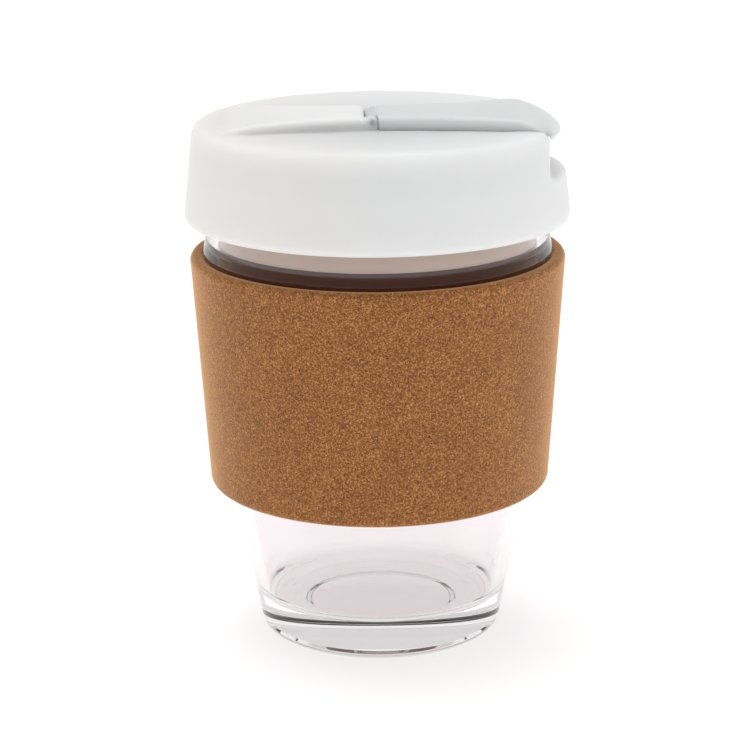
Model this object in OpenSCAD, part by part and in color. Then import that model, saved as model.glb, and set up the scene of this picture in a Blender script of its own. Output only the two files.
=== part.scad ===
// Reusable glass coffee cup with a cork band and a press-on lid with a flip-up flap.
// Origin: centre of the foot. +Z up, +X towards the drinking side, -Y towards the front.

/* [Glass] */
// Radius where the heel ends
foot_r = 28.7; // [27:0.1:30]
// Radius of the round heel
heel_r = 3.65; // [2.5:0.05:5]
// Outer radius at the top of the bare lower cone
waist_r = 35.2; // [34.6:0.1:35.8]
// Outer radius of the neck
neck_r = 40.0; // [39.7:0.1:40.2]
// Height of the mouth
mouth_z = 108.6; // [108:0.1:108.7]
// Thickness of the wall at the neck
glass_wall = 2.8; // [2.4:0.1:3]
// Thickness of the base at its middle
base_t = 9.0; // [7:0.5:11]

/* [Cork band] */
// Outer radius at the top edge
band_top_r = 43.54; // [43:0.01:44]
// Outer radius at the bottom edge
band_bottom_r = 39.99; // [39.8:0.01:40.5]
// Height of the bottom edge
band_bottom_z = 36.7; // [34:0.1:38]
// Height of the top edge
band_top_z = 91.5; // [90:0.1:92]
// Thickness of the cork
band_t = 3.0; // [2.8:0.1:3.1]

/* [Lid] */
// Radius of the skirt at its widest
skirt_r = 44.5; // [44.3:0.1:45]
// Height of the skirt's lower edge
skirt_z = 99.8; // [99:0.1:100]
// Radius of the rim under its rounding
rim_r = 42.24; // [42.1:0.01:42.5]
// Height of the rim
rim_z = 121.8; // [121.6:0.1:122]
// Radius of the rim's rounding
rim_round = 2.34; // [1.5:0.01:2.5]
// Wall thickness of the lid
lid_wall = 2.0; // [1.8:0.1:2.2]
// Height of the deck's middle
deck_z = 120.9; // [120.7:0.1:121]
// Outer radius of the inner collar
collar_r = 36.7; // [36.5:0.1:36.9]
// Height of the collar's lower edge
collar_z = 94.5; // [94:0.1:96]

/* [Bow-tie bar and flap] */
// Half the width of the bar at its waist
waist_half = 8.3; // [8:0.1:9]
// Radius of the bar's hollow sides
flare_r = 78; // [75:1:90]
// Height of the bar's top
bar_z = 123.95; // [123.8:0.01:124.1]
// Reach of the flap's finger lip
lip_r = 42.3; // [42:0.1:42.6]
// Radius of the flap's rounded shoulder
shoulder_r = 10.8; // [10:0.1:12]
// Distance from the axis to the wall of the finger notch
notch_x = 38.2; // [38:0.1:38.6]
// Height of the finger notch's floor
notch_z = 110.6; // [110.6:0.1:112]

/* [Hinge] */
// Place of the hinge axis along the bar
hinge_x = -1.2; // [-2:0.1:-1]
// Radius of the hinge barrel
barrel_r = 1.4; // [1.3:0.05:1.4]
// Radius of the hinge pin
pin_r = 0.75; // [0.6:0.05:0.8]
// Half the length of the flap's barrel
barrel_half = 4.5; // [4:0.1:5]

/* [Sip hole] */
// Distance of the sip hole from the axis
sip_x = 31; // [29:0.5:31]
// Length of the sip hole across the bar
sip_length = 16; // [12:0.5:17]
// Width of the sip hole
sip_width = 6.6; // [5:0.1:6.6]

/* [Hidden] */
$fn = 96;
arc_steps = 8;
far = 60;
gap = 0.2;
fit_gap = 0.05;

// Cup heights and radii
waist_z = 38;
band_seat_r = 37.2;
band_seat_z = 46;
neck_flare_r = neck_r + 0.45;
neck_flare_z = 92;
neck_z = 95;
lip_round = glass_wall / 2;
foot_ring_r = 20.5;
punt_depth = 1.6;
floor_r = 20;
floor_corner = 6;

// Lid heights
web_z = mouth_z + 0.2;
web_t = notch_z - web_z;
deck_under = deck_z - 1.9;
dish_r = 37.2;
seal_z = 101;
seal_h = 3.6;
seal_depth = 0.9;
notch_wall = 1.8;

// Flap
hinge_z = bar_z - barrel_r;
plate_z = deck_z + 0.15;
seat_gap = 0.25;
lip_z = 119.6;
shoulder_x = 34.0;
stopper_z = 118.4;
stopper_pocket = 0.7;
stopper_gap = 0.5;
vent_x = 7;
vent_r = 1.0;

// Platform, the bar's fixed half
platform_end = hinge_x - barrel_r - gap;
chamfer_x = 1.1;
chamfer_foot = hinge_z + 0.35;
platform_far_x = -35.5;

// Distance of the pin's ends from the bar's sides
pin_end = 0.4;

// Points of an arc about (x, y), from angle a to angle b.
function arc(x, y, r, a, b, n = arc_steps) =
    [for (i = [0 : n]) let (t = a + (b - a) * i / n) [x + r * cos(t), y + r * sin(t)]];

// Half-width of the bow-tie at a distance x from its waist.
function bow_half(x) = waist_half + flare_r - sqrt(flare_r * flare_r - x * x);

module bow_tie(x0, x1, grow = 0, n = 16) {
    side = [for (i = [0 : n]) let (x = x0 + (x1 - x0) * i / n) [x, bow_half(x) + grow]];
    polygon(concat(side, [for (i = [n : -1 : 0]) [side[i][0], -side[i][1]]]));
}

// A side profile drawn in x and z, carried across the cup from -y to y.
module across(half_y) {
    translate([0, half_y, 0]) rotate([90, 0, 0]) linear_extrude(height = 2 * half_y) children();
}

module stadium(length, width) {
    reach = (length - width) / 2;
    square([width, 2 * reach], center = true);
    for (s = [-1, 1]) translate([0, s * reach]) circle(d = width);
}

module hinge_rod(r, half_y) {
    translate([hinge_x, half_y, hinge_z]) rotate([90, 0, 0]) cylinder(r = r, h = 2 * half_y);
}

module glass_profile() {
    cone_angle = atan((waist_r - foot_r) / (waist_z - heel_r));
    inner_neck = neck_r - glass_wall;
    polygon(concat(
        [[0, punt_depth], [foot_ring_r - 3, punt_depth * 0.8], [foot_ring_r, 0]],
        arc(foot_r - heel_r, heel_r, heel_r, -90, -cone_angle),
        [[waist_r, waist_z], [waist_r + 1.1, waist_z + 3], [band_seat_r, band_seat_z],
         [neck_flare_r - 0.1, neck_flare_z - 2], [neck_flare_r, neck_flare_z],
         [neck_r + 0.1, neck_z - 1], [neck_r, neck_z]],
        arc(neck_r - lip_round, mouth_z - lip_round, lip_round, 0, 180),
        [[inner_neck, neck_z], [inner_neck, neck_flare_z], [band_seat_r - 3.2, band_seat_z],
         [waist_r - 3.2, waist_z]],
        arc(floor_r + 0.8, base_t + floor_corner, floor_corner, -10, -90),
        [[0, base_t - 0.6]]
    ));
}

module glass_cup() {
    color([0.86, 0.84, 0.84, 0.45]) rotate_extrude() glass_profile();
}

module cork_band() {
    top_round = 1.38;
    bottom_round = 2.37;
    inner_round = 0.6;
    bottom_in = band_bottom_r - band_t - 0.15;
    color([0.72, 0.49, 0.30]) rotate_extrude() polygon(concat(
        arc(band_bottom_r - bottom_round, band_bottom_z + bottom_round, bottom_round, -90, 0),
        arc(band_top_r - top_round, band_top_z - top_round, top_round, 0, 90),
        arc(band_top_r - band_t + top_round, band_top_z - top_round, top_round, 90, 180),
        arc(bottom_in + inner_round, band_bottom_z + inner_round, inner_round, 180, 270)
    ));
}

// Skirt, deck, web and collar in one outline.
module lid_profile() {
    collar_in = collar_r - 1.8;
    skirt_in = skirt_r - lid_wall;
    dome_r = rim_r - lid_wall;
    dome_round = 3;
    seal_in = collar_r - seal_depth;
    polygon(concat(
        [[skirt_in - 0.1, skirt_z], [skirt_r - 0.3, skirt_z], [skirt_r, skirt_z + 1]],
        arc(rim_r - rim_round, rim_z - rim_round, rim_round, 0, 90),
        [[dish_r, rim_z - 0.1], [30, deck_z + 0.35], [18, deck_z], [0, deck_z], [0, deck_under]],
        arc(dome_r - dome_round, deck_under - dome_round, dome_round, 90, 0),
        [[dome_r + 0.6, web_z + web_t], [collar_in, web_z + web_t], [collar_in, collar_z + 0.4],
         [collar_in + 0.4, collar_z], [collar_r - 0.5, collar_z], [collar_r, collar_z + 0.8],
         [collar_r, seal_z], [seal_in, seal_z], [seal_in, seal_z + seal_h],
         [collar_r, seal_z + seal_h], [collar_r, web_z], [skirt_in - 0.9, web_z]]
    ));
}

// The bar's fixed half, with a bevel at its inner end that clears the open flap.
module platform() {
    intersection() {
        translate([0, 0, deck_z - 1]) linear_extrude(height = 5) bow_tie(platform_far_x, platform_end);
        across(far) polygon([
            [platform_far_x, deck_z - 1], [platform_end, deck_z - 1], [platform_end, chamfer_foot],
            [platform_end - chamfer_x, bar_z], [-18, bar_z - 0.25], [-28, bar_z - 0.7],
            [-32.5, bar_z - 1.15], [-34.5, bar_z - 1.7], [platform_far_x, rim_z - 0.2]
        ]);
    }
}

module knuckles() {
    outer = waist_half - 0.1;
    inner = barrel_half + gap;
    for (s = [-1, 1]) translate([0, s * (outer + inner) / 2, 0]) {
        hinge_width = (outer - inner) / 2;
        hinge_rod(barrel_r, hinge_width);
        translate([platform_end - 0.5, -hinge_width, deck_z - 1])
            cube([hinge_x + barrel_r - platform_end + 0.5, 2 * hinge_width, hinge_z - deck_z + 1]);
    }
}

module lid_shell() {
    color([0.93, 0.93, 0.92]) difference() {
        union() {
            difference() {
                rotate_extrude() lid_profile();
                // seat of the flap in the deck and rim
                translate([0, 0, deck_z]) linear_extrude(height = 5) bow_tie(platform_end, far, seat_gap);
            }
            platform();
            knuckles();
            // wall behind the finger notch
            intersection() {
                translate([0, 0, web_z]) cylinder(r = rim_r - 0.8, h = deck_z - web_z);
                translate([notch_x - notch_wall, -far, web_z]) cube([far, 2 * far, deck_z - web_z]);
            }
        }
        // finger notch
        translate([notch_x, -far, notch_z]) cube([far, 2 * far, far]);
        translate([sip_x, 0, deck_under - 1]) linear_extrude(height = 5) stadium(sip_length, sip_width);
        translate([vent_x, 0, deck_under - 1]) cylinder(r = vent_r, h = 5);
        // pin bore, open at the back only
        translate([0, waist_half - pin_end, 0]) hinge_rod(pin_r + fit_gap / 2, 2 * waist_half - 2 * pin_end);
        // hollow under the platform
        translate([0, 0, deck_under - 1]) linear_extrude(height = 3.6) bow_tie(-30, -8, -2.2);
    }
}

module lid_seal() {
    inner = collar_r - seal_depth + fit_gap;
    outer = neck_r - glass_wall - fit_gap;
    bottom = seal_z + fit_gap;
    height = seal_h - 2 * fit_gap;
    lip = 0.5;
    color([0.80, 0.78, 0.75]) rotate_extrude() polygon([
        [inner, bottom], [outer - lip, bottom], [outer, bottom + 0.8], [outer - lip, bottom + 1.6],
        [outer - lip, bottom + 2.0], [outer, bottom + 2.7], [outer - lip, bottom + height],
        [inner, bottom + height]
    ]);
}

// Top of the flap: a plateau with a round shoulder that ends in the finger lip.
module flap_top() {
    shoulder_z = bar_z - 0.05 - shoulder_r;
    lip_angle = acos((lip_r - shoulder_x) / shoulder_r);
    rotate_extrude() polygon(concat(
        [[0, lip_z], [lip_r - 0.4, lip_z], [lip_r, lip_z + 0.2]],
        arc(shoulder_x, shoulder_z, shoulder_r, lip_angle, 90),
        [[0, bar_z]]
    ));
}

module flap() {
    plate_x = hinge_x + barrel_r + gap + 0.1;
    color([0.90, 0.90, 0.90]) difference() {
        union() {
            intersection() {
                flap_top();
                translate([0, 0, lip_z - 1]) linear_extrude(height = 6) bow_tie(plate_x, lip_r + 1);
                across(far) polygon([
                    [plate_x, plate_z], [notch_x + gap, plate_z], [notch_x + gap, lip_z],
                    [far, lip_z], [far, bar_z + 1], [plate_x, bar_z + 1]
                ]);
            }
            hinge_rod(barrel_r, barrel_half);
            translate([hinge_x, -barrel_half, plate_z])
                cube([plate_x - hinge_x + 1, 2 * barrel_half, bar_z - 0.02 - plate_z]);
        }
        hinge_rod(pin_r + fit_gap, waist_half + 1);
        translate([sip_x, 0, plate_z - 1]) linear_extrude(height = 1 + stopper_pocket)
            stadium(sip_length - 2 * stopper_gap, sip_width - 2 * stopper_gap);
    }
}

module flap_stopper() {
    color([0.85, 0.85, 0.84])
        translate([sip_x, 0, stopper_z]) linear_extrude(height = plate_z + stopper_pocket - stopper_z)
            stadium(sip_length - 2 * stopper_gap, sip_width - 2 * stopper_gap);
}

module hinge_pin() {
    color([0.75, 0.76, 0.78]) hinge_rod(pin_r, waist_half - pin_end);
}

glass_cup();
cork_band();
lid_shell();
lid_seal();
flap();
flap_stopper();
hinge_pin();
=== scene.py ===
"""Looks of a reusable glass coffee cup with a cork band and a flip-top lid.

Lengths are in millimetres in the cup's own frame and go to metres when a mesh is made.
"""

import math

import bpy
import numpy as np
import openvdb
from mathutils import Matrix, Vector


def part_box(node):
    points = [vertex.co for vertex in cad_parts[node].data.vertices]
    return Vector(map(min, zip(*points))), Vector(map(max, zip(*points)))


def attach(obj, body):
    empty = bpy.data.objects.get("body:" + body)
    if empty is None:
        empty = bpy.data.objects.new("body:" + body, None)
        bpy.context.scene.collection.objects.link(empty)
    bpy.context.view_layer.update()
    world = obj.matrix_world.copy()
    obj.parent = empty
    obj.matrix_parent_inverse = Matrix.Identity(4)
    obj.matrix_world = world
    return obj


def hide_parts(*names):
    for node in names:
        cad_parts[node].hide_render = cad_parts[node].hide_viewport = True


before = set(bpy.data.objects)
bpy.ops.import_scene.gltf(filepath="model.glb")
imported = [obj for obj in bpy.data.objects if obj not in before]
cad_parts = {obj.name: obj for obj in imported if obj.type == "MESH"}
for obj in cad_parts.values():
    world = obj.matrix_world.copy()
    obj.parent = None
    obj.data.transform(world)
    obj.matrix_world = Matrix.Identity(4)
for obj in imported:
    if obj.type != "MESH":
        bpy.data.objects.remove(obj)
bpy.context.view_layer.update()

MM = 0.001


def span(node):
    """Lowest and highest corner of a CAD node, in millimetres."""
    low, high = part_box(node)
    return [v / MM for v in low], [v / MM for v in high]


# ---------------------------------------------------------------- sizes from the frame
band_low, band_high = span("cork_band")
lid_low, lid_high = span("lid_shell")
seal_low, seal_high = span("lid_seal")
flap_low, flap_high = span("flap")
stopper_low, stopper_high = span("flap_stopper")
pin_low, pin_high = span("hinge_pin")

MOUTH_Z = span("glass_cup")[1][2]
SKIRT_R = lid_high[0]
BAR_Z = flap_high[2]
COLLAR_Z = lid_low[2]
LIP_R = flap_high[0]
LIP_Z = flap_low[2]
HINGE_X = (pin_low[0] + pin_high[0]) / 2
HINGE_Z = (pin_low[2] + pin_high[2]) / 2
PIN_R = (pin_high[0] - pin_low[0]) / 2
SIP_X = (stopper_low[0] + stopper_high[0]) / 2

# ---------------------------------------------------------------- sizes of the design
NECK_R = 40.0
GLASS_WALL = 2.8
BASE_T = 9.0
BAND_BOTTOM_R = 39.99
BAND_T = 3.0
LID_WALL = 2.0
COLLAR_R = 36.7
COLLAR_WALL = 1.8
SKIRT_Z = 99.8
RIM_R = 42.24
RIM_Z = 121.8
DECK_Z = 120.9
UNDER_DECK_Z = DECK_Z - 1.9
WAIST_HALF = 8.3
FLARE_R = 78.0
BAR_ROUND = 0.9
SHOULDER_R = 10.8
SHOULDER_X = 34.0
NOTCH_X = 38.2
NOTCH_Z = 110.6
BARREL_R = 1.4
BARREL_HALF = 4.5
SIP_LENGTH = 16.0
SIP_WIDTH = 6.6
VENT_X = 7.0
VENT_R = 1.0
GAP = 0.2


# ---------------------------------------------------------------- outlines
def fillets(corners, steps=6, closed=True):
    """Outline through corners (x, y, radius), each rounded by an arc of that radius."""
    points = []
    count = len(corners)
    for i, (x, y, radius) in enumerate(corners):
        here = Vector((x, y))
        if radius <= 0 or (not closed and i in (0, count - 1)):
            points.append((x, y))
            continue
        back = Vector(corners[i - 1][:2]) - here
        ahead = Vector(corners[(i + 1) % count][:2]) - here
        turn = back.angle(ahead)
        reach = min(radius / math.tan(turn / 2), 0.49 * back.length, 0.49 * ahead.length)
        radius = reach * math.tan(turn / 2)
        middle = here + (back.normalized() + ahead.normalized()).normalized() * (
            radius / math.sin(turn / 2)
        )
        start = here + back.normalized() * reach - middle
        end = here + ahead.normalized() * reach - middle
        sweep = math.atan2(start.cross(end), start.dot(end))
        for k in range(steps + 1):
            a = sweep * k / steps
            points.append((
                middle.x + start.x * math.cos(a) - start.y * math.sin(a),
                middle.y + start.x * math.sin(a) + start.y * math.cos(a),
            ))
    return points


def subdivide(points, longest):
    """The same closed outline with no side longer than that."""
    out = []
    for (x0, y0), (x1, y1) in zip(points, points[1:] + points[:1]):
        n = max(1, math.ceil(math.hypot(x1 - x0, y1 - y0) / longest))
        out += [(x0 + (x1 - x0) * k / n, y0 + (y1 - y0) * k / n) for k in range(n)]
    return out


# ---------------------------------------------------------------- meshes
def make_object(name, points, faces, body, nodes):
    """A smooth piece from points in millimetres, riding on a body and standing for CAD nodes."""
    mesh = bpy.data.meshes.new(name)
    mesh.from_pydata([tuple(c * MM for c in p) for p in points], [], faces)
    mesh.validate()
    mesh.shade_smooth()
    piece = bpy.data.objects.new(name, mesh)
    bpy.context.collection.objects.link(piece)
    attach(piece, body)
    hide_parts(*nodes)
    return piece


def revolve(profile, segments):
    """Points and faces of a closed (r, z) outline turned about Z. Points at r = 0 are poles."""
    points, rings = [], []
    for r, z in profile:
        if r < 1e-6:
            rings.append([len(points)] * segments)
            points.append((0, 0, z))
            continue
        rings.append(list(range(len(points), len(points) + segments)))
        for k in range(segments):
            a = 2 * math.pi * k / segments
            points.append((r * math.cos(a), r * math.sin(a), z))
    faces = []
    for i, ring in enumerate(rings):
        above = rings[(i + 1) % len(rings)]
        for k in range(segments):
            m = (k + 1) % segments
            corners = [ring[k], ring[m], above[m], above[k]]
            face = list(dict.fromkeys(corners))
            if len(face) > 2:
                faces.append(face)
    return points, faces


# ---------------------------------------------------------------- solids as distance fields
def smooth_max(a, b, round_by):
    """Intersection of two fields with the edge between them rounded."""
    h = np.maximum(round_by - np.abs(a - b), 0) / round_by
    return np.maximum(a, b) + h * h * round_by / 4


def smooth_min(a, b, round_by):
    """Union of two fields with the corner between them filleted."""
    return -smooth_max(-a, -b, round_by)


def outline_distance(points, x, y):
    """Signed distance from a closed outline, negative inside, on arrays x and y."""
    best = np.full(np.broadcast(x, y).shape, 1e9)
    inside = np.zeros(best.shape, bool)
    for (x0, y0), (x1, y1) in zip(points, points[1:] + points[:1]):
        ex, ey = x1 - x0, y1 - y0
        length2 = ex * ex + ey * ey
        if length2 == 0:
            continue
        t = np.clip(((x - x0) * ex + (y - y0) * ey) / length2, 0, 1)
        best = np.minimum(best, np.hypot(x - x0 - t * ex, y - y0 - t * ey))
        if y0 != y1:
            cross = x0 + (y - y0) * ex / (y1 - y0)
            inside ^= ((y0 > y) != (y1 > y)) & (x < cross)
    return np.where(inside, -best, best)


class Field:
    """A box of sample points and the solids drawn in it."""

    def __init__(self, low, high, voxel):
        axes = [np.arange(a, b + voxel, voxel) for a, b in zip(low, high)]
        self.low, self.voxel, self.axes = low, voxel, axes
        self.x = axes[0][:, None, None]
        self.y = axes[1][None, :, None]
        self.z = axes[2][None, None, :]
        self.r = np.hypot(self.x, self.y)

    def turned(self, profile):
        """A closed (r, z) outline turned about Z."""
        radii = np.arange(0, self.r.max() + 0.2, 0.1)
        flat = outline_distance(profile, radii[:, None], self.axes[2][None, :])
        layers = [np.interp(self.r[:, :, 0], radii, flat[:, k]) for k in range(flat.shape[1])]
        return np.stack(layers, axis=2)

    def bow_tie(self):
        """The bar's plan, between two round hollow sides."""
        return FLARE_R - np.hypot(self.x, WAIST_HALF + FLARE_R - np.abs(self.y)) + 0 * self.z

    def side_view(self, corners, steps=5):
        """A closed (x, z) outline carried straight across."""
        flat = outline_distance(fillets(corners, steps), self.x[:, 0, 0][:, None], self.axes[2][None, :])
        return np.broadcast_to(flat[:, None, :], (len(self.axes[0]), len(self.axes[1]), len(self.axes[2])))

    def rod(self, x, z, radius, half):
        """A cylinder along Y."""
        return smooth_max(np.hypot(self.x - x, self.z - z) - radius, np.abs(self.y) - half, 0.1)

    def stadium(self, x, length, width):
        """An upright slot with round ends, long across the bar."""
        reach = (length - width) / 2
        return np.hypot(self.x - x, np.maximum(np.abs(self.y) - reach, 0)) - width / 2 + 0 * self.z

    def mesh(self, field, keep):
        """Points and faces of the field's surface, thinned to that share of its faces."""
        grid = openvdb.FloatGrid(self.voxel * 3)
        grid.copyFromArray(np.ascontiguousarray(field, dtype=np.float32))
        points, quads = grid.convertToQuads(0.0)
        points = points * self.voxel + np.array(self.low)
        return thin(points, quads[:, ::-1], keep)


def thin(points, quads, keep):
    """The mesh with its flat and gently curved stretches thinned out."""
    mesh = bpy.data.meshes.new("thin")
    mesh.from_pydata(points.tolist(), [], quads.tolist())
    worker = bpy.data.objects.new("thin", mesh)
    bpy.context.collection.objects.link(worker)
    decimate = worker.modifiers.new("thin", "DECIMATE")
    decimate.ratio = keep
    shown = worker.evaluated_get(bpy.context.evaluated_depsgraph_get())
    result = shown.to_mesh()
    points = [tuple(v.co) for v in result.vertices]
    faces = [tuple(p.vertices) for p in result.polygons]
    shown.to_mesh_clear()
    bpy.data.objects.remove(worker)
    bpy.data.meshes.remove(mesh)
    return points, faces


# ---------------------------------------------------------------- glass cup
def glass_outline():
    """Under the base, up the outside, over the lip, down the inside and across the floor."""
    inner = NECK_R - GLASS_WALL
    return fillets([
        (0, 0.95, 0), (16.8, 0.9, 0.8), (18.1, 0, 0.8), (28.04, 0, 3.4),
        (35.2, 38, 14), (37.2, 46, 20), (40.35, 91.0, 3), (40.55, 92.3, 0.8), (NECK_R, 94.4, 3),
        (NECK_R, MOUTH_Z, 1.39), (inner, MOUTH_Z, 1.39),
        (inner, 93, 20), (34.2, 47, 20), (31.9, 38, 20),
        (27.0, BASE_T + 0.7, 5.5), (21.3, BASE_T + 0.6, 1.2), (20.1, BASE_T + 0.1, 1.2), (0, BASE_T - 0.3, 0),
    ], steps=8, closed=False)


def make_glass():
    points, faces = revolve(glass_outline(), 256)
    return make_object("cup_glass", points, faces, "cup", ["glass_cup"])


# ---------------------------------------------------------------- cork band
def make_cork():
    top_r, bottom_r = band_high[0], BAND_BOTTOM_R
    low, high = band_low[2], band_high[2]
    outline = subdivide(fillets([
        (bottom_r - 0.15, low, 2.3), (top_r, high, 1.45),
        (top_r - BAND_T + 0.1, high, 0.7), (bottom_r - BAND_T - 0.15, low, 0.6),
    ], steps=8), 1.2)
    points, faces = revolve(outline, 288)
    return make_object("cork_sleeve", points, faces, "cup", ["cork_band"])


# ---------------------------------------------------------------- lid
def lid_outline():
    """Across the deck, down the skirt, and back along the web, the grooved collar and the dome."""
    groove_r = COLLAR_R - 0.9
    inner_r = COLLAR_R - COLLAR_WALL
    groove_low, groove_high = 101, 104.6
    web_z = MOUTH_Z + GAP
    dome = RIM_R - LID_WALL
    return fillets([
        (0, DECK_Z, 0), (18, DECK_Z, 20), (31, DECK_Z + 0.35, 20), (37.4, RIM_Z - 0.05, 8),
        (RIM_R - 0.02, RIM_Z, 2.5), (SKIRT_R, SKIRT_Z + 1, 3), (SKIRT_R - 0.35, SKIRT_Z, 0.5),
        (SKIRT_R - 1.9, SKIRT_Z, 0.6), (SKIRT_R - LID_WALL - 0.9, web_z, 0.8),
        (COLLAR_R, web_z, 0.8), (COLLAR_R, groove_high, 0.1), (groove_r, groove_high, 0.1),
        (groove_r, groove_low, 0.1), (COLLAR_R, groove_low, 0.1), (COLLAR_R, COLLAR_Z, 0.8),
        (inner_r, COLLAR_Z, 0.5), (inner_r, NOTCH_Z, 0.6), (dome + 0.7, NOTCH_Z, 1),
        (dome, UNDER_DECK_Z, 3), (0, UNDER_DECK_Z, 0),
    ], steps=6)


def make_lid():
    """The turned shell with its seat, fixed bar, knuckles, finger notch and holes."""
    f = Field((-46, -46, COLLAR_Z - 1), (46, 46, 125), 0.4)
    platform_end = HINGE_X - BARREL_R - GAP
    shell = f.turned(lid_outline())

    # seat that the flap lies in
    seat = smooth_max(f.bow_tie() + 0.05, platform_end - f.x, 0.4)
    shell = smooth_max(shell, -smooth_max(seat, DECK_Z - f.z, 0.1), 0.1)

    # fixed half of the bar, bevelled beside the hinge
    side = f.side_view([
        (-38, DECK_Z - 1.2, 0), (platform_end, DECK_Z - 1.2, 0), (platform_end, HINGE_Z + 0.55, 0.2),
        (platform_end - 1.0, BAR_Z, 0.4), (-18, BAR_Z - 0.25, 60), (-28, BAR_Z - 0.7, 40),
        (-33.2, BAR_Z - 1.3, 6), (-35.8, RIM_Z - 0.3, 3), (-38, RIM_Z - 1, 0),
    ])
    shell = smooth_min(shell, smooth_max(side, f.bow_tie(), BAR_ROUND), 0.9)

    # hinge knuckles, filled up to the fixed half where the open flap leaves room
    barrel = np.hypot(f.x - HINGE_X, f.z - HINGE_Z) - BARREL_R
    foot = f.side_view([
        (HINGE_X - 4, DECK_Z - 1, 0), (HINGE_X + BARREL_R, DECK_Z - 1, 0),
        (HINGE_X + BARREL_R, HINGE_Z, 0), (HINGE_X + 0.2, HINGE_Z + BARREL_R - 0.03, 1),
        (HINGE_X - 1.0, HINGE_Z + 1.12, 1), (HINGE_X - 1.8, HINGE_Z + 0.75, 0.5),
        (HINGE_X - 2.4, HINGE_Z + 1.1, 0.5), (HINGE_X - 4, BAR_Z - 0.05, 0),
    ])
    knuckle = smooth_max(np.minimum(barrel, foot), BARREL_HALF + GAP / 2 - np.abs(f.y), 0.2)
    shell = smooth_min(shell, smooth_max(knuckle, f.bow_tie(), BAR_ROUND), 0.2)

    # wall behind the finger notch, then the notch
    backing = np.maximum(NOTCH_X - 1.8 - f.x, f.r - RIM_R + 0.8)
    backing = np.maximum(backing, np.maximum(NOTCH_Z - 1 - f.z, f.z - UNDER_DECK_Z))
    shell = smooth_min(shell, backing, 0.8)
    shell = smooth_max(shell, -smooth_max(NOTCH_X - f.x, NOTCH_Z - f.z, 2.4), 0.9)

    # sip hole, vent and pin bore, then the hollow under the fixed half of the bar
    reach = np.abs(f.z - DECK_Z + 1) - 4
    shell = smooth_max(shell, -np.maximum(f.stadium(SIP_X, SIP_LENGTH, SIP_WIDTH), reach), 0.5)
    shell = smooth_max(shell, -np.maximum(np.hypot(f.x - VENT_X, f.y) - VENT_R, reach), 0.4)
    bore = np.hypot(f.x - HINGE_X, f.z - HINGE_Z) - PIN_R - 0.02
    shell = np.maximum(shell, -np.maximum(bore, pin_low[1] - f.y))
    core = np.maximum(np.abs(f.x + 19) - 11, np.abs(f.z - UNDER_DECK_Z) - 2.4)
    shell = smooth_max(shell, -smooth_max(f.bow_tie() + 2.2, core, 0.8), 0.6)
    points, faces = f.mesh(shell, 0.36)
    return make_object("lid_body", points, faces, "lid", ["lid_shell"])


def make_flap():
    """The lifting half of the bar: a domed plate with a lip, a barrel and the stopper's pocket."""
    f = Field((-4, -20, LIP_Z - 1), (44, 20, BAR_Z + 1), 0.25)
    plate_x = HINGE_X + BARREL_R + 0.02
    plate_z = DECK_Z - 0.12
    shoulder_z = BAR_Z - SHOULDER_R
    shoulder = [
        (SHOULDER_X + SHOULDER_R * math.sin(a), shoulder_z + SHOULDER_R * math.cos(a))
        for a in (math.radians(degrees) for degrees in range(0, 50, 3))
    ]
    dome = f.turned([(0, 100), (0, BAR_Z)] + shoulder + [(LIP_R + 6, 100)])
    tip = f.r - LIP_R
    flap = smooth_max(dome, f.bow_tie(), BAR_ROUND)
    under = f.side_view([
        (plate_x, plate_z, 0.1), (NOTCH_X + GAP, plate_z, 0.1), (NOTCH_X + GAP, LIP_Z, 0.5),
        (60, LIP_Z, 0), (60, 140, 0), (plate_x, 140, 0),
    ])
    flap = smooth_max(smooth_max(flap, tip, 0.5), under, 0.12)
    barrel = f.rod(HINGE_X, HINGE_Z, BARREL_R, BARREL_HALF)
    neck_x, neck_half = (plate_x + HINGE_X) / 2, (plate_x - HINGE_X) / 2
    neck = np.maximum(np.abs(f.x - neck_x - 0.6) - neck_half - 0.6, np.abs(f.y) - BARREL_HALF)
    neck = np.maximum(neck, np.maximum(plate_z - f.z, f.z - BAR_Z + 0.02))
    flap = smooth_min(flap, smooth_min(barrel, neck, 0.1), 0.2)
    flap = np.maximum(flap, -f.rod(HINGE_X, HINGE_Z, PIN_R + 0.05, WAIST_HALF + 1))
    pocket = np.maximum(f.stadium(SIP_X, SIP_LENGTH - 1, SIP_WIDTH - 1), np.abs(f.z - plate_z) - 0.7)
    flap = np.maximum(flap, -pocket)
    points, faces = f.mesh(flap, 0.5)
    return make_object("flap_plate", points, faces, "flap", ["flap"])


def make_seal():
    """A ring with two soft lips towards the inside of the glass."""
    inner, outer = 35.86, 37.14
    low, high = seal_low[2], seal_high[2]
    outline = fillets([
        (inner, low, 0.2), (outer - 0.55, low, 0.15), (outer, low + 0.8, 0.25),
        (outer - 0.6, low + 1.5, 0.2), (outer - 0.6, low + 2.0, 0.2), (outer, low + 2.7, 0.25),
        (outer - 0.55, high, 0.15), (inner, high, 0.2),
    ], steps=5)
    points, faces = revolve(outline, 192)
    return make_object("seal_ring", points, faces, "seal", ["lid_seal"])


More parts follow.
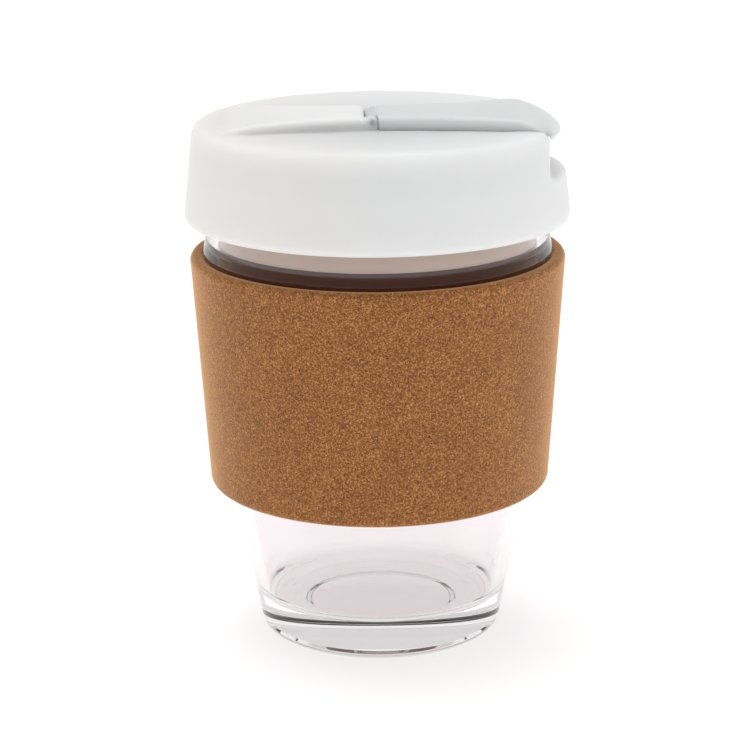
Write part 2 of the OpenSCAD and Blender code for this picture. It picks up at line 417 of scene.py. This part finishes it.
def make_stopper():
    """A soft plug: a stadium drawn in towards its round lower end."""
    length = stopper_high[1] - stopper_low[1]
    width = stopper_high[0] - stopper_low[0]
    low, high = stopper_low[2], stopper_high[2]
    end_round = 0.9
    levels = [
        (high, 0), (DECK_Z + 0.42, 0), (DECK_Z + 0.3, -0.12), (DECK_Z - 0.4, -0.12), (DECK_Z - 0.7, 0.0),
    ]
    levels += [
        (low + end_round * (1 - math.sin(a)), -0.35 - end_round * (1 - math.cos(a)))
        for a in (math.pi / 2 * k / 8 for k in range(9))
    ]
    points, around = [], 64
    reach = (length - width) / 2
    for z, grow in levels:
        radius = width / 2 + grow
        for k in range(around):
            a = 2 * math.pi * (k + 0.5) / around
            y = radius * math.sin(a)
            points.append((SIP_X + radius * math.cos(a), y + math.copysign(reach, y), z))
    faces = [tuple(range(around))]
    for i in range(len(levels) - 1):
        for k in range(around):
            m = (k + 1) % around
            faces.append((i * around + k, (i + 1) * around + k, (i + 1) * around + m, i * around + m))
    last = (len(levels) - 1) * around
    faces.append(tuple(range(last + around - 1, last - 1, -1)))
    return make_object("stopper_plug", points, faces, "flap", ["flap_stopper"])


def make_pin():
    """A drawn wire with domed ends, along Y."""
    half, dome = pin_high[1], 0.25
    outline = [(0, -half)] + [
        (PIN_R * math.sin(a), -half + dome * (1 - math.cos(a)))
        for a in (math.pi / 2 * k / 6 for k in range(1, 7))
    ]
    outline += [(r, -y) for r, y in reversed(outline)]
    points, faces = revolve(outline, 48)
    points = [(HINGE_X + x, z, HINGE_Z + y) for x, y, z in points]
    faces = [tuple(reversed(face)) for face in faces]
    return make_object("hinge_wire", points, faces, "lid", ["hinge_pin"])


# ---------------------------------------------------------------- materials
def new_material(name):
    """An empty material, its node adder and its Principled shader."""
    material = bpy.data.materials.new(name)
    material.use_nodes = True
    tree = material.node_tree
    shader = tree.nodes["Principled BSDF"]

    def add(kind, **settings):
        node = tree.nodes.new(kind)
        for key, value in settings.items():
            if key in node.inputs:
                node.inputs[key].default_value = value
            else:
                setattr(node, key, value)
        return node

    return material, tree.links.new, add, shader


def noise(add, link, where, scale, detail=2.0):
    node = add("ShaderNodeTexNoise", Scale=scale, Detail=detail)
    link(where, node.inputs["Vector"])
    return node


def voronoi(add, link, where, scale):
    node = add("ShaderNodeTexVoronoi", Scale=scale, feature="F1")
    link(where, node.inputs["Vector"])
    return node


def map_range(add, link, value, limits):
    """The value carried from its range to another: (from, to, new from, new to)."""
    node = add("ShaderNodeMapRange")
    link(value, node.inputs["Value"])
    for name, limit in zip(("From Min", "From Max", "To Min", "To Max"), limits):
        node.inputs[name].default_value = limit
    return node.outputs["Result"]


def ramp(add, link, value, stops):
    """A colour ramp of (position, colour) stops on that value."""
    node = add("ShaderNodeValToRGB")
    band = node.color_ramp
    while len(band.elements) < len(stops):
        band.elements.new(0.5)
    for element, (position, colour) in zip(band.elements, stops):
        element.position = position
        element.color = (*colour, 1)
    link(value, node.inputs["Fac"])
    return node


def mix(add, link, factor, a, b, blend="MIX"):
    node = add("ShaderNodeMix", data_type="RGBA", blend_type=blend)
    for socket, kind, value in (("Factor", "VALUE", factor), ("A", "RGBA", a), ("B", "RGBA", b)):
        target = next(i for i in node.inputs if i.name == socket and i.type == kind)
        if hasattr(value, "is_output"):
            link(value, target)
        else:
            target.default_value = value
    return next(o for o in node.outputs if o.type == "RGBA")


def glass_material():
    """Clear glass, faintly tinted, with a slight haze and soft waves."""
    material, link, add, shader = new_material("clear_glass")
    shader.inputs["Base Color"].default_value = (0.915, 0.882, 0.895, 1)
    shader.inputs["Transmission Weight"].default_value = 1
    shader.inputs["IOR"].default_value = 1.46
    where = add("ShaderNodeTexCoord").outputs["Object"]
    haze = noise(add, link, where, 160, 3.0)
    link(map_range(add, link, haze.outputs["Fac"], (0.3, 0.7, 0.015, 0.05)), shader.inputs["Roughness"])
    waves = noise(add, link, where, 45, 1.0)
    bump = add("ShaderNodeBump", Strength=0.04, Distance=0.0006)
    link(waves.outputs["Fac"], bump.inputs["Height"])
    link(bump.outputs["Normal"], shader.inputs["Normal"])
    return material


def radius_of(add, link, where):
    """Distance from the cup's axis."""
    flat = add("ShaderNodeVectorMath", operation="MULTIPLY")
    link(where, flat.inputs[0])
    flat.inputs[1].default_value = (1, 1, 0)
    radius = add("ShaderNodeVectorMath", operation="LENGTH")
    link(flat.outputs["Vector"], radius.inputs[0])
    return radius.outputs["Value"]


def inner_shade_mask(add, link, where):
    """1 on the band's inner cone, where it is pressed against the glass, and 0 elsewhere; it masks painted
    shade.
    """
    parts = add("ShaderNodeSeparateXYZ")
    link(where, parts.inputs["Vector"])
    cone = map_range(add, link, parts.outputs["Z"], (
        band_low[2] * MM, band_high[2] * MM, (BAND_BOTTOM_R - BAND_T) * MM, (band_high[0] - BAND_T) * MM))
    depth = add("ShaderNodeMath", operation="SUBTRACT")
    link(radius_of(add, link, where), depth.inputs[0])
    link(cone, depth.inputs[1])
    return map_range(add, link, depth.outputs["Value"], (0.0001, 0.0003, 1, 0))


def cork_material():
    """Pressed cork: fine granules, dark specks of bark, a slow change of tone and painted shade on the inner
    face.
    """
    material, link, add, shader = new_material("cork_granules")
    where = add("ShaderNodeTexCoord").outputs["Object"]
    warp = noise(add, link, where, 900, 2.0)
    bent = add("ShaderNodeVectorMath", operation="MULTIPLY_ADD")
    link(warp.outputs["Color"], bent.inputs[0])
    bent.inputs[1].default_value = (0.0006, 0.0006, 0.0006)
    link(where, bent.inputs[2])
    place = bent.outputs["Vector"]

    granules = voronoi(add, link, place, 3800)
    tone = ramp(add, link, granules.outputs["Color"], [
        (0.05, (0.110, 0.032, 0.007)), (0.30, (0.205, 0.072, 0.017)), (0.60, (0.300, 0.116, 0.031)),
        (0.90, (0.540, 0.260, 0.095)),
    ])
    flakes = voronoi(add, link, place, 2500)
    patch = ramp(add, link, flakes.outputs["Color"], [(0.1, (0.84, 0.82, 0.80)), (0.9, (1.10, 1.09, 1.08))])
    colour = mix(add, link, 0.7, tone.outputs["Color"], patch.outputs["Color"], "MULTIPLY")
    slow = noise(add, link, where, 75, 3.0)
    drift = ramp(add, link, slow.outputs["Fac"], [(0.3, (0.93, 0.91, 0.89)), (0.7, (1.05, 1.05, 1.06))])
    colour = mix(add, link, 1.0, colour, drift.outputs["Color"], "MULTIPLY")

    specks = voronoi(add, link, place, 1950)
    chosen = add("ShaderNodeSeparateColor")
    link(specks.outputs["Color"], chosen.inputs["Color"])
    size = map_range(add, link, chosen.outputs["Red"], (0.5, 1.0, 0.0, 0.40))
    inside = add("ShaderNodeMath", operation="SUBTRACT")
    link(size, inside.inputs[0])
    link(specks.outputs["Distance"], inside.inputs[1])
    speck = ramp(add, link, inside.outputs["Value"], [(0.0, (0, 0, 0)), (0.12, (1, 1, 1))])
    colour = mix(add, link, speck.outputs["Color"], colour, (0.075, 0.022, 0.006, 1))
    # the band's inner face is painted dark brown: painted shade of the cup's dim inside, seen through the
    # glass
    colour = mix(add, link, inner_shade_mask(add, link, where), colour, (0.15, 0.043, 0.016, 1))
    link(colour, shader.inputs["Base Color"])

    rough = ramp(add, link, granules.outputs["Color"], [(0.0, (0.62, 0.62, 0.62)), (1.0, (0.82, 0.82, 0.82))])
    link(rough.outputs["Color"], shader.inputs["Roughness"])
    height = mix(add, link, speck.outputs["Color"], granules.outputs["Color"], (0, 0, 0, 1))
    bump = add("ShaderNodeBump", Strength=0.35, Distance=0.00012)
    link(height, bump.inputs["Height"])
    link(bump.outputs["Normal"], shader.inputs["Normal"])
    shader.inputs["Specular IOR Level"].default_value = 0.3
    shader.inputs["Sheen Weight"].default_value = 1.0
    shader.inputs["Sheen Roughness"].default_value = 0.4
    shader.inputs["Sheen Tint"].default_value = (1.0, 0.60, 0.32, 1)
    return material


def frosted(name, colour, roughness, depth, tint, painted_light_zones=()):
    """A translucent moulded plastic with a fine spark-eroded skin.

    The zones, (axis, from, to, tint), paint light and shade into the colour: it turns to that tint
    from one place to the other, along X, along Z or outwards from the cup's axis, R.
    """
    material, link, add, shader = new_material(name)
    where = add("ShaderNodeTexCoord").outputs["Object"]
    cloud = noise(add, link, where, 60, 3.0)
    shade = ramp(add, link, cloud.outputs["Fac"], [
        (0.3, tuple(0.985 * c for c in colour)), (0.7, tuple(min(1.0, 1.015 * c) for c in colour)),
    ]).outputs["Color"]
    parts = add("ShaderNodeSeparateXYZ")
    link(where, parts.inputs["Vector"])
    places = {"X": parts.outputs["X"], "Z": parts.outputs["Z"], "R": radius_of(add, link, where)}
    # each zone blends in a painted light or painted shade tint
    for axis, start, end, tone in painted_light_zones:
        share = map_range(add, link, places[axis], (start * MM, end * MM, 0, 1))
        shade = mix(add, link, share, shade, (*tone, 1))
    link(shade, shader.inputs["Base Color"])
    grain = noise(add, link, where, 4200, 2.0)
    rough = ramp(add, link, grain.outputs["Fac"], [
        (0.3, (roughness - 0.06,) * 3), (0.7, (roughness + 0.06,) * 3),
    ])
    link(rough.outputs["Color"], shader.inputs["Roughness"])
    bump = add("ShaderNodeBump", Strength=0.25, Distance=0.00002)
    link(grain.outputs["Fac"], bump.inputs["Height"])
    flow = noise(add, link, where, 30, 1.0)
    wave = add("ShaderNodeBump", Strength=0.12, Distance=0.0004)
    link(flow.outputs["Fac"], wave.inputs["Height"])
    link(bump.outputs["Normal"], wave.inputs["Normal"])
    link(wave.outputs["Normal"], shader.inputs["Normal"])
    shader.inputs["IOR"].default_value = 1.49
    shader.inputs["Subsurface Weight"].default_value = 0.9
    shader.inputs["Subsurface Radius"].default_value = tint
    shader.inputs["Subsurface Scale"].default_value = depth
    return material


def steel_material():
    """A drawn wire with fine lines along its length."""
    material, link, add, shader = new_material("drawn_steel")
    where = add("ShaderNodeTexCoord").outputs["Object"]
    stretch = add("ShaderNodeMapping")
    link(where, stretch.inputs["Vector"])
    stretch.inputs["Scale"].default_value = (1.0, 0.03, 1.0)
    lines = noise(add, link, stretch.outputs["Vector"], 9000, 2.0)
    shade = ramp(add, link, lines.outputs["Fac"], [(0.3, (0.50, 0.50, 0.51)), (0.7, (0.66, 0.66, 0.67))])
    link(shade.outputs["Color"], shader.inputs["Base Color"])
    rough = ramp(add, link, lines.outputs["Fac"], [(0.3, (0.22, 0.22, 0.22)), (0.7, (0.38, 0.38, 0.38))])
    link(rough.outputs["Color"], shader.inputs["Roughness"])
    bump = add("ShaderNodeBump", Strength=0.3, Distance=0.00001)
    link(lines.outputs["Fac"], bump.inputs["Height"])
    link(bump.outputs["Normal"], shader.inputs["Normal"])
    shader.inputs["Metallic"].default_value = 1
    return material


# ---------------------------------------------------------------- stage
def make_floor():
    """White paper that glows a little, in metres."""
    half = 6.0
    corners = [(-half, -half, 0), (half, -half, 0), (half, half, 0), (-half, half, 0)]
    mesh = bpy.data.meshes.new("floor")
    mesh.from_pydata(corners, [], [(0, 1, 2, 3)])
    floor = bpy.data.objects.new("floor", mesh)
    bpy.context.collection.objects.link(floor)
    material, link, add, shader = new_material("floor_paper")
    shader.inputs["Base Color"].default_value = (0.6, 0.6, 0.6, 1)
    shader.inputs["Roughness"].default_value = 0.9
    shader.inputs["Emission Color"].default_value = (1.0, 0.99, 0.995, 1)
    shader.inputs["Emission Strength"].default_value = 0.54
    floor.data.materials.append(material)


def make_camera():
    """The camera of the reference view: a long lens a little above and in front."""
    data = bpy.data.cameras.new("camera")
    data.lens = 122.9
    data.sensor_width = 36
    camera = bpy.data.objects.new("camera", data)
    bpy.context.collection.objects.link(camera)
    swing = math.radians(-1.5)
    reach, height = 579.5, 226.9
    camera.location = (reach * math.sin(swing) * MM, -reach * math.cos(swing) * MM, height * MM)
    target = Vector((-0.9 * MM, 0, 61.1 * MM))
    camera.rotation_euler = (target - camera.location).to_track_quat("-Z", "Y").to_euler()
    camera.rotation_euler.rotate_axis("Z", math.radians(-0.54))
    bpy.context.scene.camera = camera


def area_light(name, place, size, power):
    """A soft lamp aimed at the middle of the cup, seen in no reflection and through no glass."""
    data = bpy.data.lights.new(name, "AREA")
    data.shape = "RECTANGLE"
    data.size, data.size_y = size
    data.energy = power
    light = bpy.data.objects.new(name, data)
    light.location = place
    light.rotation_euler = (Vector((0, 0, 0.06)) - light.location).to_track_quat("-Z", "Y").to_euler()
    light.visible_glossy = False
    light.visible_transmission = False
    bpy.context.collection.objects.link(light)


def make_light():
    """An even white tent, a little darker behind the camera, with soft lamps over it."""
    world = bpy.data.worlds.new("studio")
    bpy.context.scene.world = world
    world.use_nodes = True
    nodes, link = world.node_tree.nodes, world.node_tree.links.new
    direction = nodes.new("ShaderNodeTexCoord")
    parts = nodes.new("ShaderNodeSeparateXYZ")
    link(direction.outputs["Generated"], parts.inputs["Vector"])
    front = nodes.new("ShaderNodeMapRange")
    link(parts.outputs["Y"], front.inputs["Value"])
    for name, value in (("From Min", -0.9), ("From Max", 0.7), ("To Min", 0.4), ("To Max", 1.0)):
        front.inputs[name].default_value = value
    above = nodes.new("ShaderNodeMapRange")
    link(parts.outputs["Z"], above.inputs["Value"])
    for name, value in (("From Min", 0.2), ("From Max", 1.0), ("To Min", 0.85), ("To Max", 1.1)):
        above.inputs[name].default_value = value
    both = nodes.new("ShaderNodeMath")
    both.operation = "MULTIPLY"
    link(front.outputs["Result"], both.inputs[0])
    link(above.outputs["Result"], both.inputs[1])
    background = nodes["Background"]
    link(both.outputs["Value"], background.inputs["Color"])
    background.inputs["Strength"].default_value = 0.85
    area_light("key", (-0.2, 0.3, 1.6), (1.2, 1.0), 9)
    area_light("front", (0.2, -1.6, 0.7), (1.2, 0.8), 6)
    area_light("left", (-1.3, -0.4, 0.6), (0.8, 1.2), 3.0)
    area_light("right", (1.3, -0.4, 0.6), (0.8, 1.2), 3.6)


# ---------------------------------------------------------------- build
make_camera()
glass = make_glass()
cork = make_cork()
lid = make_lid()
seal = make_seal()
flap = make_flap()
stopper = make_stopper()
pin = make_pin()

plastic = (0.76, 0.765, 0.765)
lid_plastic = frosted("frosted_lid", plastic, 0.42, 0.006, (1, 0.95, 0.9), [
    # painted warm light on the left half, from X = 0 to -42; painted shade on the dished deck, darker from R
    # = 38 in to 14
    ("X", 0, -42, (0.78, 0.755, 0.715)), ("R", 38, 14, (0.63, 0.635, 0.64)),
    # painted highlight on the raised bar top above the rim; painted shade with a cork-brown bounce on the
    # collar below the skirt
    ("Z", RIM_Z + 0.3, RIM_Z + 1.5, (0.80, 0.80, 0.79)), ("Z", SKIRT_Z, SKIRT_Z - 1, (0.62, 0.49, 0.40)),
])
# the flap is a darker copy of the lid's plastic: painted shade on the lifting half of the bar
flap_plastic_shaded = frosted("frosted_flap_painted_shade", (0.65, 0.655, 0.66), 0.42, 0.006, (1, 0.95, 0.9))
silicone = frosted("soft_silicone", (0.74, 0.73, 0.70), 0.55, 0.003, (1, 0.9, 0.8))
for piece, material in (
    (glass, glass_material()), (cork, cork_material()), (lid, lid_plastic), (flap, flap_plastic_shaded),
    (seal, silicone), (stopper, silicone), (pin, steel_material()),
):
    piece.data.materials.append(material)

# the lamps shine through the glass onto what stands inside and under it
glass.visible_shadow = False
glass.visible_diffuse = False

make_floor()
make_light()
bpy.context.scene.view_settings.view_transform = "Standard"
